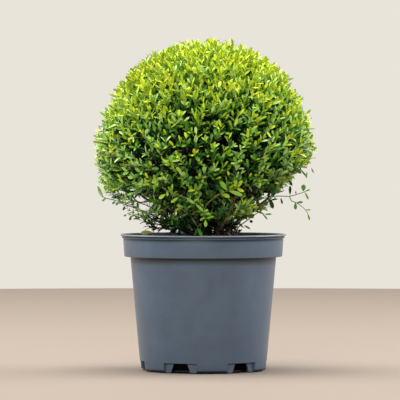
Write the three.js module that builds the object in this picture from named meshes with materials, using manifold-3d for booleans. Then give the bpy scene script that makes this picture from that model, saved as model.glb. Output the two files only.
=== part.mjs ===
// A box topiary ball, clipped boxwood, in its grey nursery pot.
// Millimetres, Z up. The pot's axis is Z, its underside is Z = 0, and the front looks along -Y.
import * as THREE from "three";
import { mergeVertices } from "three/addons/utils/BufferGeometryUtils.js";
import Module from "manifold-3d";

const wasm = await Module();
wasm.setup();

// Clearance between neighbouring solids.
const GAP = 0.3;

// Pot: a ten litre container, thin injection-moulded walls with a deep collar under a rolled lip.
const POT_HEIGHT = 228;
const WALL = 2;
const LIP_R = 140;
const LIP_THICK = 3.8;
const BEAD_R = 137.5;
const COLLAR_TOP_R = 135.2;
const COLLAR_FOOT_R = 133.2;
const COLLAR_FOOT_Z = 191;
const BODY_TOP_R = 123;
const BODY_FOOT_R = 105.9;
const FLOOR_THICK = 3;
const PAD_R = 58; // flat pad in the middle of the underside
const FOOT_RING_R = 88; // inner radius of the ring that the pot stands on
const UNDER_RECESS = 1; // how far the underside is raised between pad and ring
const POT_SEGMENTS = 48;

// Six drainage recesses round the foot, each with a trapezoid hole in its middle.
const DRAINS = 6;
const DRAIN_FIRST_DEG = -22;
const DRAIN_WIDTH_DEG = 32;
const DRAIN_HEIGHT = 15.8;
const DRAIN_FLOOR_R = 102.3;
const HOLE_HEIGHT = 14.8;
const HOLE_TOP = 24;
const HOLE_FOOT = 34;

// Growing medium inside the pot.
const SOIL_Z = 208;
const SOIL_FOOT_R = 86;

// Crown: where the clipped ball is, and how its lower right side is worn back.
const BALL = new THREE.Vector3(2.5, 0, 374);
const BALL_R = 186;
const CORE_R = 148;
const THIN_DEPTH = 0.2;
const BALL_FLOOR = [
  [0, 276],
  [50, 280],
  [95, 292],
  [122, 301],
  [200, 301],
]; // underside of the ball: radius from the axis, height
const SKIRT_LIP_Z = 258; // below this the loose skirt draws in
const SKIRT_FOOT_R = 100; // its reach just above the rim
const SKIRT_FOOT_Z = 234;

// Leaves are fewer and larger than life; leaf thickness is a share of its length.
const LEAF_THICK = 0.06;
const LEAF_WIDTH = 0.48;
const LEAF_SINK = 0.5; // millimetres past the middle of its twig
const BALL_SITES = 50;
const BALL_LEAF = 48;
const BALL_TWIG_R = [2.8, 1.7];
const SPRAY_LEAF = 34;
const GOLDEN = Math.PI * (3 - Math.sqrt(5));

// Stems: a short root crown with flare, from which every bough rises.
const STEM_FOOT = new THREE.Vector3(13, 2, SOIL_Z + GAP);
const STEM_RADII = [25, 20, 17.5, 16.5];
const STEM_HEIGHTS = [0, 5, 12, 19];
const STEM_LEAN = 1.5;
const BOUGH_R = [6.4, 4.3];
const LOW_BOUGH_R = [4.2, 2.7];
const LIMB_SIDES = 6;

// Upright boughs carry the ball: where each one's tip is, from the axis.
const UPRIGHT = [
  { name: "bough_front", tip: [-2, -34, 271] },
  { name: "bough_front_right", tip: [49, -23, 274], thick: 1.1 },
  { name: "bough_back_right", tip: [37, 31, 272] },
  { name: "bough_back_left", tip: [-14, 38, 271] },
  { name: "bough_left", tip: [-37, -6, 271] },
];

// Low boughs carry the loose skirt under the ball: direction in degrees from the front towards +X, how
// far out and how high the tip is, half the width of the mass's sector in degrees, and how it grows.
const LOW = [
  { name: "front", az: -8, half: 23, seed: 11 },
  { name: "front_right", az: 35, half: 18, length: 70, seed: 23 },
  { name: "right", az: 72, half: 18, length: 46, rise: 0.62, seed: 31 },
  { name: "back_right", az: 130, half: 26, length: 74, seed: 43 },
  { name: "back", az: -179, half: 24, seed: 59 },
  { name: "back_left", az: -129, half: 25, seed: 61 },
  { name: "left", az: -80, half: 23, seed: 79 },
  { name: "front_left", az: -45, half: 13, seed: 83 },
];
const LOW_OUT = 47;
const LOW_TIP_Z = 241;
const LOW_STEM = 88;

// A stray shoot reaches out beyond the clipped outline: points of its stems and of the leaves on them.
const STRAY = {
  name: "stray_shoot_right",
  bough: [[30, 5, 224], [70, 10, 258], [108, 12, 287]],
  stems: [
    [[112, 12, 292], [144.9, 11, 294.9], [156.9, 11, 299.5], [167.9, 10, 303], [179, 10, 304.5]],
    [[148, 11, 295.5], [152.2, 10, 287.5], [158.6, 10, 282.1], [171.4, 9, 272], [179, 9, 256]],
  ],
  leaves: [
    [[116, 12, 292.5], [121, 11, 272]],
    [[131, 11, 293.8], [135, 10, 279]],
    [[146.3, 11, 295.5], [146.3, 9, 312]],
    [[149, 10, 294], [146, 4, 281]],
    [[167, 10, 303], [170, 9, 316]],
    [[169, 10, 303], [177.8, 9, 288]],
    [[178, 10, 304.5], [189, 9, 310]],
    [[158, 10, 282.6], [170, 9, 286]],
    [[157, 10, 283.4], [155, 9, 268]],
    [[170.5, 9, 272.7], [184, 8, 271]],
    [[177.6, 9, 259], [182, 8, 245]],
    [[175, 9, 264.8], [166, 8, 252]],
  ],
};

// Turns any closed geometry into a solid that can be joined and cut.
function solid(geometry) {
  const loose = geometry.index ? geometry.toNonIndexed() : geometry;
  const bare = new THREE.BufferGeometry().setAttribute("position", loose.getAttribute("position"));
  const merged = mergeVertices(bare, 1e-3);
  return new wasm.Manifold(
    new wasm.Mesh({
      numProp: 3,
      vertProperties: new Float32Array(merged.attributes.position.array),
      triVerts: new Uint32Array(merged.index.array),
    }),
  );
}

// Turns a solid back into a named mesh. Points a thousandth apart are merged, and loose scraps and
// sealed hollows that joining or merging leaves are dropped.
function node(name, body) {
  let geometry;
  for (let pass = 0; pass < 3; pass++) {
    const whole = body.decompose().reduce((a, b) => (b.volume() > a.volume() ? b : a));
    const { vertProperties, triVerts } = whole.getMesh();
    geometry = new THREE.BufferGeometry();
    geometry.setAttribute("position", new THREE.BufferAttribute(vertProperties, 3));
    geometry.setIndex(new THREE.BufferAttribute(triVerts, 1));
    body = solid(geometry);
  }
  const mesh = new THREE.Mesh(geometry);
  mesh.name = name;
  return mesh;
}

// A closed surface from corner points and the faces between them, each face facing out.
function faceted(points, faces) {
  const corners = faces.flat().flatMap((i) => [points[i].x, points[i].y, points[i].z]);
  return solid(
    new THREE.BufferGeometry().setAttribute("position", new THREE.Float32BufferAttribute(corners, 3)),
  );
}

// Turns a profile of [radius, height] round the Z axis.
function turned(profile, segments = POT_SEGMENTS) {
  const points = profile.map(([r, z]) => new THREE.Vector2(r, z));
  return solid(new THREE.LatheGeometry(points, segments).rotateX(Math.PI / 2));
}

// The direction of a compass angle in degrees, from the front towards +X.
function bearing(degrees) {
  const a = THREE.MathUtils.degToRad(degrees);
  return new THREE.Vector3(Math.sin(a), -Math.cos(a), 0);
}

// Straight lines between [position, value] pairs.
function between(table, at) {
  const i = Math.max(1, table.findIndex(([x]) => x >= at));
  const [[x0, y0], [x1, y1]] = [table[i - 1], table[i]];
  return y0 + ((y1 - y0) * (at - x0)) / (x1 - x0);
}

// A repeatable stream of numbers from 0 to 1.
function draws(seed) {
  let state = seed >>> 0;
  return () => {
    state = (Math.imul(state, 1664525) + 1013904223) >>> 0;
    return state / 4294967296;
  };
}

// One tapering limb along a path: a ring of corners square to it at each point, flat at both ends.
function limb(path, radii, sides = LIMB_SIDES) {
  const last = path.length - 1;
  const along = path.map((p, i) =>
    path[Math.min(i + 1, last)].clone().sub(path[Math.max(i - 1, 0)]).normalize(),
  );
  const side = new THREE.Vector3(0.31, -0.86, 0.41).cross(along[0]).normalize();
  const corners = [];
  path.forEach((p, i) => {
    side.addScaledVector(along[i], -side.dot(along[i])).normalize();
    const up = along[i].clone().cross(side);
    for (let k = 0; k < sides; k++) {
      const turn = (2 * Math.PI * k) / sides;
      corners.push(
        p.clone()
          .addScaledVector(side, radii[i] * Math.cos(turn))
          .addScaledVector(up, radii[i] * Math.sin(turn)),
      );
    }
  });
  const faces = [];
  for (let k = 0; k < sides; k++) {
    const next = (k + 1) % sides;
    for (let i = 0; i < last; i++) {
      const [a, b] = [i * sides + k, i * sides + next];
      faces.push([a, b, b + sides], [a, b + sides, a + sides]);
    }
    if (k > 0 && next > 0) {
      faces.push([0, next, k], [last * sides, last * sides + k, last * sides + next]);
    }
  }
  return faceted(corners, faces);
}

// A smooth path through a few points, and the straight taper of radii that goes with it.
function bend(points, count) {
  return new THREE.CatmullRomCurve3(points).getPoints(count);
}
function taper([from, to], count) {
  return Array.from({ length: count + 1 }, (_, i) => from + ((to - from) * i) / count);
}

// One leaf of eight faces: widest a little past its middle, its root sunk back into the twig.
function leaf(root, tip, face, extra = 0) {
  const dir = tip.clone().sub(root);
  const length = dir.length();
  dir.divideScalar(length);
  const across = dir.clone().cross(face).normalize();
  const up = across.clone().cross(dir);
  const at = (along, sideways, height) =>
    root.clone().addScaledVector(dir, along).addScaledVector(across, sideways).addScaledVector(up, height);
  const half = (length * LEAF_WIDTH) / 2 + extra;
  const thick = (length * LEAF_THICK) / 2 + extra;
  const points = [
    at(-LEAF_SINK, 0, 0),
    at(length + extra, 0, 0),
    at(length * 0.56, -half, 0),
    at(length * 0.56, half, 0),
    at(length * 0.5, 0, thick),
    at(length * 0.5, 0, -thick),
  ];
  return faceted(points, [
    [0, 4, 2], [0, 3, 4], [0, 5, 3], [0, 2, 5],
    [1, 2, 4], [1, 4, 3], [1, 3, 5], [1, 5, 2],
  ]);
}

// How far the clipped outline reaches from the ball's centre in a direction: a sphere, worn back low
// on the right side, and drawn in towards the pot under the skirt.
function reach(direction) {
  const low = THREE.MathUtils.smoothstep(-direction.z, 0.08, 0.42);
  const right = Math.max(0, direction.x / Math.hypot(direction.x, direction.y, 1e-6));
  return BALL_R * (1 - THIN_DEPTH * low * right ** 1.5);
}
function inOutline(p) {
  const v = p.clone().sub(BALL);
  const far = v.length();
  if (far > reach(v.divideScalar(far))) return false;
  const r = Math.hypot(p.x, p.y);
  if (p.z > SKIRT_LIP_Z) return true;
  const edge = THREE.MathUtils.mapLinear(p.z, SKIRT_FOOT_Z, SKIRT_LIP_Z, SKIRT_FOOT_R, 142);
  return r < edge && p.z > SKIRT_FOOT_Z;
}

function makePot() {
  const outer = turned([
    [0, 0], [PAD_R, 0], [PAD_R + 2, UNDER_RECESS], [FOOT_RING_R - 2, UNDER_RECESS], [FOOT_RING_R, 0],
    [BODY_FOOT_R - 3, 0], [BODY_FOOT_R - 0.8, 0.9], [BODY_FOOT_R + 0.3, 3],
    [BODY_TOP_R, COLLAR_FOOT_Z - 1],
    [COLLAR_FOOT_R - 2, COLLAR_FOOT_Z - 1], [COLLAR_FOOT_R, COLLAR_FOOT_Z + 0.8],
    [COLLAR_TOP_R, 219.3], [BEAD_R - 0.4, 219.8], [BEAD_R, 220.8], [BEAD_R - 0.4, 221.8],
    [COLLAR_TOP_R + 1.2, 222.6], [LIP_R - 1.6, POT_HEIGHT - LIP_THICK],
    [LIP_R, POT_HEIGHT - LIP_THICK + 1.4], [LIP_R - 0.3, POT_HEIGHT - 0.8],
    [LIP_R - 1.8, POT_HEIGHT], [COLLAR_TOP_R + 0.6, POT_HEIGHT - 0.3], [0, POT_HEIGHT - 0.3],
  ]);
  const inside = turned([
    [0, FLOOR_THICK], [BODY_FOOT_R - 4, FLOOR_THICK], [BODY_FOOT_R - 1.6, FLOOR_THICK + 2.4],
    [BODY_TOP_R - WALL, COLLAR_FOOT_Z - 2], [BODY_TOP_R - WALL, COLLAR_FOOT_Z + 1],
    [COLLAR_FOOT_R - WALL, COLLAR_FOOT_Z + 1], [COLLAR_TOP_R - WALL, 219],
    [COLLAR_TOP_R - WALL + 0.6, POT_HEIGHT + 1], [0, POT_HEIGHT + 1],
  ]);
  // A wedge of a ring round the foot, wider and deeper by `grow` on its inner side.
  const recess = (grow) => {
    const half = THREE.MathUtils.degToRad(DRAIN_WIDTH_DEG) / 2 + grow / DRAIN_FLOOR_R;
    const wedge = new THREE.Shape();
    wedge.moveTo(0, 0);
    wedge.lineTo(130 * Math.cos(half), -130 * Math.sin(half));
    wedge.lineTo(130 * Math.cos(half), 130 * Math.sin(half));
    const height = DRAIN_HEIGHT + grow + 1;
    const prism = new THREE.ExtrudeGeometry(wedge, { depth: height, bevelEnabled: false });
    const plug = turned([[0, -2], [DRAIN_FLOOR_R - grow, -2], [DRAIN_FLOOR_R - grow, 30], [0, 30]]);
    return solid(prism.translate(0, 0, -1)).subtract(plug);
  };
  const hole = () => {
    const shape = new THREE.Shape();
    shape.moveTo(-HOLE_FOOT / 2, -1);
    shape.lineTo(HOLE_FOOT / 2, -1);
    shape.lineTo(HOLE_TOP / 2, HOLE_HEIGHT);
    shape.lineTo(-HOLE_TOP / 2, HOLE_HEIGHT);
    const bar = new THREE.ExtrudeGeometry(shape, { depth: 30, bevelEnabled: false });
    return solid(bar.rotateX(Math.PI / 2).rotateZ(Math.PI / 2).translate(FOOT_RING_R + 2, 0, 0));
  };
  const ring = (one) => {
    let all = null;
    for (let k = 0; k < DRAINS; k++) {
      const turn = DRAIN_FIRST_DEG - 90 + (360 / DRAINS) * k;
      all = all ? all.add(one.rotate([0, 0, turn])) : one.rotate([0, 0, turn]);
    }
    return all;
  };
  const shell = outer.subtract(ring(recess(0))).subtract(inside.subtract(ring(recess(WALL))));
  return node("pot", shell.subtract(ring(hole())));
}

function makeGrowingMedium() {
  const clear = WALL + GAP * 1.3;
  const bodyR = (z) =>
    between([[3, BODY_FOOT_R + 0.3], [COLLAR_FOOT_Z - 1, BODY_TOP_R]], z) - clear;
  const footTop = DRAIN_HEIGHT + WALL + GAP * 2;
  return node(
    "growing_medium",
    turned([
      [0, FLOOR_THICK + GAP], [SOIL_FOOT_R - 2, FLOOR_THICK + GAP],
      [SOIL_FOOT_R, FLOOR_THICK + GAP + 2], [SOIL_FOOT_R, footTop], [bodyR(footTop), footTop],
      [bodyR(COLLAR_FOOT_Z - 1), COLLAR_FOOT_Z - 1], [bodyR(COLLAR_FOOT_Z - 1), COLLAR_FOOT_Z + 1 + GAP],
      [COLLAR_FOOT_R - clear, COLLAR_FOOT_Z + 1 + GAP], [COLLAR_TOP_R - clear - 1, SOIL_Z - 3],
      [COLLAR_TOP_R - clear - 4, SOIL_Z - 1], [100, SOIL_Z], [0, SOIL_Z],
    ], 36),
  );
}

// Limbs, from the root crown up. Each new limb is cut clear of those before it.
const limbs = [];
function addLimb(name, path, radii) {
  let body = limb(path, radii);
  for (const other of limbs) body = body.subtract(other.grown);
  const grown = limb(
    [path[0].clone().lerp(path[1], -0.05), ...path.slice(1, -1), path.at(-1)],
    radii.map((r) => r + GAP),
  );
  limbs.push({ grown });
  return node(name, body);
}

const group = new THREE.Group();
group.add(makePot(), makeGrowingMedium());

const stemPath = STEM_HEIGHTS.map((h, i) =>
  STEM_FOOT.clone().add(new THREE.Vector3((STEM_LEAN * Math.max(0, i - 1)) / 2, 0, h)),
);
group.add(addLimb("main_stem", stemPath, STEM_RADII));
const stemTop = stemPath.at(-1);

// Upright boughs leave the top of the root crown, and a short stub of the ball meets each tip.
const stubs = [];
UPRIGHT.forEach(({ name, tip, thick = 1 }) => {
  const end = new THREE.Vector3(...tip);
  const out = end.clone().sub(stemTop).setZ(0).normalize();
  const start = stemTop.clone().addScaledVector(out, 9.5).add(new THREE.Vector3(0, 0, -6));
  const knee = start.clone().lerp(end, 0.45).addScaledVector(out, -4);
  const path = bend([start, knee, end], 4);
  const radii = taper(BOUGH_R, 4).map((r) => r * thick);
  group.add(addLimb(name, path, radii));
  const dir = path.at(-1).clone().sub(path.at(-2)).normalize();
  const root = end.clone().addScaledVector(dir, GAP);
  stubs.push(limb([root, root.clone().addScaledVector(dir, 22)], [radii.at(-1), radii.at(-1) * 0.9]));
});

// Low boughs leave the side of the root crown.
const lowTips = LOW.map(({ name, az }) => {
  const dir = bearing(az);
  const start = stemTop.clone().addScaledVector(dir, 10).setZ(stemTop.z - 8);
  const end = dir.clone().multiplyScalar(LOW_OUT).setZ(LOW_TIP_Z);
  const knee = start.clone().lerp(end, 0.5).add(new THREE.Vector3(0, 0, -2));
  const path = bend([start, knee, end], 3);
  group.add(addLimb("low_bough_" + name, path, taper(LOW_BOUGH_R, 3)));
  return { end, dir: path.at(-1).clone().sub(path.at(-2)).normalize() };
});
const strayPath = bend(STRAY.bough.map((p) => new THREE.Vector3(...p)), 4);
group.add(addLimb("bough_to_" + STRAY.name, strayPath, taper([3, 1.9], 4)));
const blocked = limbs.reduce((all, { grown }) => (all ? all.add(grown) : grown), null);

// Whether two solids keep clear of each other.
function apart(one, other) {
  const [a, b] = [one.boundingBox(), other.boundingBox()];
  const near = [0, 1, 2].every((k) => a.min[k] < b.max[k] && b.min[k] < a.max[k]);
  return !near || one.intersect(other).isEmpty();
}

// The leaves of one mass. A leaf that would touch a limb or another leaf is left out.
function foliage(obstacle) {
  const blades = [];
  return (from, tip, face) => {
    const dir = tip.clone().sub(from).normalize();
    const free = leaf(from.clone().addScaledVector(dir, 4), tip, face, GAP);
    if (!apart(free, obstacle) || blades.some((blade) => !apart(free, blade))) return [];
    blades.push(free);
    return [leaf(from, tip, face)];
  };
}

// The clipped ball: a smaller dark core, and twigs with leaves in pairs that stand out of it.
function makeBall() {
  const profile = BALL_FLOOR.slice(0, 3).map(([r, z]) => [r, z + 1.5]);
  for (let deg = -16; deg < 90; deg += 15) {
    const a = THREE.MathUtils.degToRad(deg);
    profile.push([CORE_R * Math.cos(a), BALL.z + CORE_R * Math.sin(a)]);
  }
  profile.push([0, BALL.z + CORE_R]);
  const pieces = [turned(profile, 24).translate([BALL.x, BALL.y, 0]), ...stubs];
  const random = draws(7);
  const unfold = foliage(blocked);
  const fits = (p) => p.z > between(BALL_FLOOR, Math.hypot(p.x, p.y)) + 0.8;
  const past = (p) => {
    const v = p.clone().sub(BALL);
    const far = v.length();
    return far > reach(v.divideScalar(far));
  };
  // A leaf leaves its twig to one side, shortened where it would stand past the clipped outline.
  const addLeaf = (from, dir, across, share, spread) => {
    const heading = dir.clone().addScaledVector(across, spread).normalize();
    let length = BALL_LEAF * share * (0.88 + 0.24 * random());
    const tipAt = (part) => from.clone().addScaledVector(heading, length * part);
    while (length > 18 && past(tipAt(1))) length -= 2;
    if (past(tipAt(1)) || !fits(tipAt(1)) || !fits(tipAt(0.56))) return;
    const face = dir.clone().addScaledVector(across, -0.6).add(new THREE.Vector3(0, 0, 0.5));
    pieces.push(...unfold(from, tipAt(1), face));
  };
  for (let i = 0; i < BALL_SITES; i++) {
    const height = 1 - (1.37 * (i + 0.5)) / BALL_SITES;
    const turn = i * GOLDEN;
    const flat = Math.sqrt(1 - height * height);
    const out = new THREE.Vector3(flat * Math.cos(turn), flat * Math.sin(turn), height);
    const lean = new THREE.Vector3(random() - 0.5, random() - 0.5, random() * 0.5);
    const dir = out.clone().addScaledVector(lean, 0.5).normalize();
    const root = BALL.clone().addScaledVector(out, reach(out) - 52);
    const end = root.clone().addScaledVector(dir, 29);
    const twig = limb([root, end], BALL_TWIG_R, 3);
    if (!fits(root) || !fits(end) || !apart(twig, blocked)) continue;
    pieces.push(twig);
    let across = new THREE.Vector3(random() - 0.5, random() - 0.5, random() - 0.5);
    across.cross(dir).normalize();
    for (const [at, length, spread] of [[0.62, 0.95, 1.7], [0.93, 0.85, 1.1]]) {
      const from = root.clone().lerp(end, at);
      for (const hand of [1, -1]) addLeaf(from, dir, across.clone().multiplyScalar(hand), length, spread);
      across = across.cross(dir).normalize();
    }
    addLeaf(end.clone().addScaledVector(dir, -1.5), dir, across.clone().multiplyScalar(0.3), 0.6, 0.8);
  }
  return wasm.Manifold.union(pieces);
}

// One loose mass of the skirt: a stem from its bough's tip, paired side twigs, paired leaves.
function makeSpray({ az, half, seed, length: stemLength = LOW_STEM, rise = 0.43 }, tipOf, obstacle) {
  const { end, dir } = tipOf;
  const random = draws(seed);
  const middle = bearing(az);
  const unfold = foliage(obstacle);
  const inSpace = (p) => {
    const flat = p.clone().setZ(0);
    const sector = THREE.MathUtils.radToDeg(middle.angleTo(flat) + 0.5 / flat.length());
    const below = between(BALL_FLOOR, flat.length()) - 0.8;
    return sector < half && inOutline(p) && p.z < below;
  };
  const pieces = [];
  const addLeaf = (from, heading, side) => {
    const out = heading.clone().multiplyScalar(0.8).add(side).normalize();
    const length = SPRAY_LEAF * (0.85 + 0.3 * random());
    const tip = from.clone().addScaledVector(out, length);
    const face = middle.clone().add(new THREE.Vector3(random() - 0.5, random() - 0.5, 0.2 + random()));
    if (inSpace(tip) && inSpace(from.clone().lerp(tip, 0.56))) pieces.push(...unfold(from, tip, face));
  };
  const grow = (from, heading, length, radius, grade) => {
    const tip = from.clone().addScaledVector(heading, length);
    const twig = (extra) => limb([from, tip], [radius + extra, radius * 0.7 + extra], 3);
    if (!inSpace(tip) || !apart(twig(2 * GAP), obstacle)) return;
    pieces.push(twig(0));
    let across = new THREE.Vector3(0, 0, 1).cross(heading).normalize();
    const stations = grade === 0 ? [0.08, 0.3, 0.52, 0.74, 0.95] : [0.5, 0.94];
    stations.forEach((at, i) => {
      const joint = from.clone().lerp(tip, at);
      for (const hand of [1, -1]) {
        const side = across.clone().multiplyScalar(hand);
        const away = heading.clone().multiplyScalar(0.75).add(side).normalize();
        if (grade === 0) grow(joint, away, (31 - 3 * i) * (0.85 + 0.3 * random()), radius * 0.75, 1);
        else addLeaf(joint, heading, side);
      }
      across = across.cross(heading).normalize();
    });
    addLeaf(tip.clone().addScaledVector(heading, -1.2), heading, across.multiplyScalar(0.2));
  };
  const root = end.clone().addScaledVector(dir, GAP);
  const bendAt = root.clone().addScaledVector(dir, 6);
  pieces.push(limb([root, bendAt], [LOW_BOUGH_R[1], LOW_BOUGH_R[1] * 0.95], 6));
  const heading = middle.clone().add(new THREE.Vector3(0, 0, rise)).normalize();
  grow(bendAt.clone().addScaledVector(heading, -2), heading, stemLength, LOW_BOUGH_R[1] * 0.95, 0);
  return wasm.Manifold.union(pieces);
}

// The stray shoot: bent stems with single leaves where the photographed plant has them.
function makeStray() {
  const end = strayPath.at(-1);
  const dir = end.clone().sub(strayPath.at(-2)).normalize();
  const pieces = STRAY.stems.map((points, i) => {
    const way = points.map((p) => new THREE.Vector3(...p));
    if (i === 0) way.unshift(...[GAP, 3].map((far) => end.clone().addScaledVector(dir, far)));
    return limb(way, taper([1.9 - 0.3 * i, 1.4], way.length - 1), 3);
  });
  STRAY.leaves.forEach(([from, to], i) => {
    const face = new THREE.Vector3(0.3, -1, 0.5 + 0.5 * (i % 2));
    pieces.push(leaf(new THREE.Vector3(...from), new THREE.Vector3(...to), face));
  });
  return wasm.Manifold.union(pieces);
}

// Each mass keeps clear of every limb and of the masses before it.
const [stray, ball] = [makeStray(), makeBall()];
group.add(node("clipped_ball", ball), node(STRAY.name, stray));
let taken = blocked.add(stray).add(ball);
LOW.forEach((row, i) => {
  const spray = makeSpray(row, lowTips[i], taken);
  group.add(node("low_spray_" + row.name, spray));
  taken = taken.add(spray);
});

export default group;
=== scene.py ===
# A box topiary ball in its grey nursery pot: the looks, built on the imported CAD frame.
# The scene is in metres. Sizes are written in millimetres and turned to metres when a mesh is made.
import math

import bmesh
import bpy
import numpy as np
from mathutils import Matrix, Vector, noise


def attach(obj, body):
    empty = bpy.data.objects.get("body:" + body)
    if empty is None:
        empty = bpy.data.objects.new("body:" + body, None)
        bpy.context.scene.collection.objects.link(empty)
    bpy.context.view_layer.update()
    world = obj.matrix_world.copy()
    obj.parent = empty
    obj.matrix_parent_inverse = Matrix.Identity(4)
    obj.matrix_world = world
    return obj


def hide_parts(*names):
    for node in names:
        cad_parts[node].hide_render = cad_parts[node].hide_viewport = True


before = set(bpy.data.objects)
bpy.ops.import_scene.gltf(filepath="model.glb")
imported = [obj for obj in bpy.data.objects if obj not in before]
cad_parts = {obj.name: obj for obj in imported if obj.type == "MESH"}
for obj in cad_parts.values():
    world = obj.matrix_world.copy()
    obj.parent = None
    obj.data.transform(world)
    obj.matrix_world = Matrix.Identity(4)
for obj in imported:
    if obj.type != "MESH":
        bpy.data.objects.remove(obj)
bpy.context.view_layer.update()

scene = bpy.context.scene
MM = 0.001


# The studio. The camera stands far off and nearly level, as for the photograph, so the pot's rim is a
# thin ellipse. The floor is plain pale paving, and the light is a bright overcast sky from above.
PICTURE = 400
PIXEL = 1.687  # millimetres to a pixel of the picture, at the plant
FRAME_WIDTH = PICTURE * PIXEL
GROUND_ROW = 369.35
CAMERA_FAR = 5700
CAMERA_UP = 369
CAMERA_SIDE = -5.6
SENSOR = 36
FLOOR_R = 3400
PAVING_DIP = 1.5  # the pot stands on the paving's high spots, so a thin dark line shows under its foot
SHARP_FOLD = math.radians(32)


def linear(hex_colour):
    """An sRGB hex colour as linear RGBA."""
    parts = [int(hex_colour[i : i + 2], 16) / 255 for i in (1, 3, 5)]
    return [c / 12.92 if c <= 0.04045 else ((c + 0.055) / 1.055) ** 2.4 for c in parts] + [1]


def add_node(tree, kind, inputs=None, stops=(), to=None, **settings):
    """Adds a node. Its inputs are values, sockets, or nodes whose first output is meant, `stops` are a
    colour ramp's, of which it comes with two, and `to` is a socket that its own first output feeds."""
    made = tree.nodes.new(kind)
    for key, value in settings.items():
        setattr(made, key, value)
    for key, value in (inputs or {}).items():
        if isinstance(value, bpy.types.Node):
            value = value.outputs[0]
        if isinstance(value, bpy.types.NodeSocket):
            tree.links.new(value, made.inputs[key])
        else:
            made.inputs[key].default_value = value
    for i, (position, colour) in enumerate(stops):
        ramp = made.color_ramp.elements
        stop = ramp[i] if i < 2 else ramp.new(position)
        stop.position, stop.color = position, linear(colour)
    if to is not None:
        tree.links.new(made.outputs[0], to)
    return made


def new_material(name):
    """An empty node material: returns it, its tree and its output's surface socket."""
    made = bpy.data.materials.new(name)
    made.use_nodes = True
    made.node_tree.nodes.clear()
    output = made.node_tree.nodes.new("ShaderNodeOutputMaterial")
    return made, made.node_tree, output.inputs["Surface"]


def new_piece(name, mesh, *materials):
    """An object at the origin with these materials."""
    made = bpy.data.objects.new(name, mesh)
    for one in materials:
        mesh.materials.append(one)
    scene.collection.objects.link(made)
    return made


def mesh_of(name, bm):
    """A finished mesh from a bmesh, smooth but for its sharp edges."""
    mesh = bpy.data.meshes.new(name)
    bm.to_mesh(mesh)
    bm.free()
    mesh.shade_smooth()
    mesh.set_sharp_from_angle(angle=SHARP_FOLD)
    return mesh


lens = bpy.data.cameras.new("camera")
lens.sensor_width = SENSOR
lens.lens = SENSOR * CAMERA_FAR / FRAME_WIDTH
lens.clip_end = 60
camera = bpy.data.objects.new("camera", lens)
scene.collection.objects.link(camera)
scene.camera = camera
look_up = (GROUND_ROW - PICTURE / 2) * PIXEL
camera.location = Vector((CAMERA_SIDE, -CAMERA_FAR, CAMERA_UP)) * MM
camera.rotation_euler = (math.pi / 2 + math.atan2(look_up - CAMERA_UP, CAMERA_FAR), 0, 0)

bm = bmesh.new()
bmesh.ops.create_circle(bm, cap_ends=True, segments=96, radius=FLOOR_R * MM)
bmesh.ops.translate(bm, vec=(0, 0, -PAVING_DIP * MM), verts=bm.verts)
floor = new_piece("floor", mesh_of("floor", bm))

# Honed stone: even, pale and matte, with no reflection to be seen in it.
paving, tree, surface = new_material("pale_honed_paving")
add_node(
    tree,
    "ShaderNodeBsdfPrincipled",
    {"Base Color": linear("#90847c"), "Roughness": 0.75, "Specular IOR Level": 0.25},
    to=surface,
)
floor.data.materials.append(paving)

# A pale rendered wall all round, seen low down, and a duller sky over it that the soft lights brighten.
# Both are a little darker behind the camera.
world = bpy.data.worlds.new("pale_wall_and_sky")
scene.world = world
world.use_nodes = True
tree = world.node_tree
looking = add_node(tree, "ShaderNodeTexCoord").outputs["Generated"]
direction = add_node(tree, "ShaderNodeSeparateXYZ", {"Vector": looking}).outputs
wall_to_sky = add_node(
    tree,
    "ShaderNodeMapRange",
    {"Value": direction["Z"], "From Min": 0.06, "From Max": 0.17, "To Min": 0.97, "To Max": 0.6},
)
behind_camera = add_node(
    tree,
    "ShaderNodeMapRange",
    {"Value": direction["Y"], "From Min": -0.9, "From Max": -0.1, "To Min": 0.72, "To Max": 1},
)
around = tree.nodes["Background"].inputs
around["Color"].default_value = linear("#ebe7dd")
both = {0: wall_to_sky, 1: behind_camera}
add_node(tree, "ShaderNodeMath", both, to=around["Strength"], operation="MULTIPLY")

# Four square softboxes, placed in metres: the sky, a fill from the front left and one along each wall.
CROWN = Vector((0, 0, 0.3))
for name, place, size, power, colour in (
    ("sky_above", (-0.5, 0.1, 7), 5, 720, "#fffbee"),
    ("front_left", (-0.8, -4.0, 1.9), 2.4, 54, "#fffcf4"),
    ("left_wall", (-2.5, 0.6, 2.2), 1.8, 56, "#fbfcff"),
    ("right_wall", (2.5, 0.6, 2.2), 1.8, 78, "#fbfcff"),
):
    lamp = bpy.data.lights.new(name, "AREA")
    lamp.size = size
    lamp.energy = power
    lamp.color = linear(colour)[:3]
    softbox = bpy.data.objects.new(name, lamp)
    softbox.location = place
    softbox.rotation_euler = (CROWN - Vector(place)).to_track_quat("-Z", "Y").to_euler()
    scene.collection.objects.link(softbox)
scene.view_settings.view_transform = "Standard"


# The pot: a round ten litre nursery container, injection moulded in grey polypropylene. A rolled lip
# and a bead stiffen the deep collar, and the wall steps in under it so that empty pots can stack.
# Six drainage recesses are pressed in round the foot, each with a tapered hole in its middle.
POT_STEPS = 180
DRAINS = 6
DRAIN_FIRST = -22  # degrees from the front
DRAIN_WIDTH = 32  # degrees
DRAIN_HEIGHT = 15.8
DRAIN_FLOOR = 102.3
HOLE_TOP, HOLE_FOOT, HOLE_HEIGHT = 24, 37, 14.8
HOLE_MIDDLE, HOLE_DEPTH = 103, 26
BEYOND = 118  # clear of the wall
BELOW = -2  # clear of the foot
MOULD_ROUND = 0.45
AXIS = {"cent": (0, 0, 0), "axis": (0, 0, 1)}

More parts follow.
